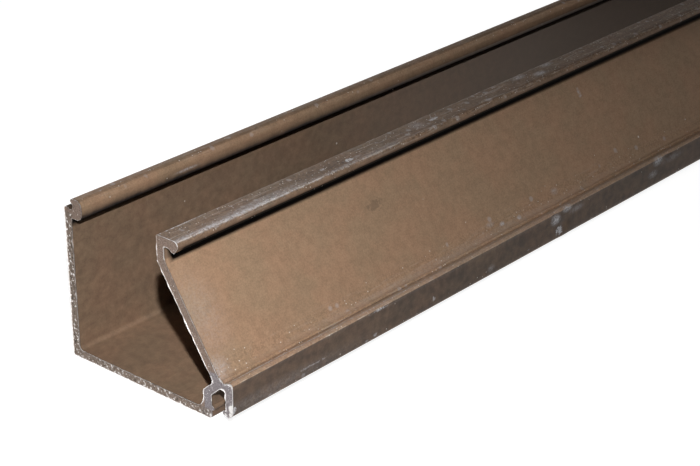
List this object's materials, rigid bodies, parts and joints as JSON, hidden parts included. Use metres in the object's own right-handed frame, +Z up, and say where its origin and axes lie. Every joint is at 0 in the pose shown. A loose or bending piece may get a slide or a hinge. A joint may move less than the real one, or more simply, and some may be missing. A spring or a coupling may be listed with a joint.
{
  "type": "glazing stop",
  "caption": "Straight extruded aluminium glazing stop with snap hooks along its open top, an inclined front wall and a gasket race at its front foot.",
  "frame": {"origin": "centre of the bar's length and width, on the plane of the base leaf's underside", "axes": "+X along the extruded length, +Y towards the plain back wall (the gasket race is on the -Y side), +Z up from the base leaf to the hooks"},
  "size_m": [0.9144, 0.0382, 0.0298],
  "materials": {
    "bronze_anodised": "satin bronze anodised mill stock, worn and scratched, with bare saw-cut ends"
  },
  "bodies": {
    "root": {"glazing_stop": "bronze_anodised"}
  },
  "joints": []
}
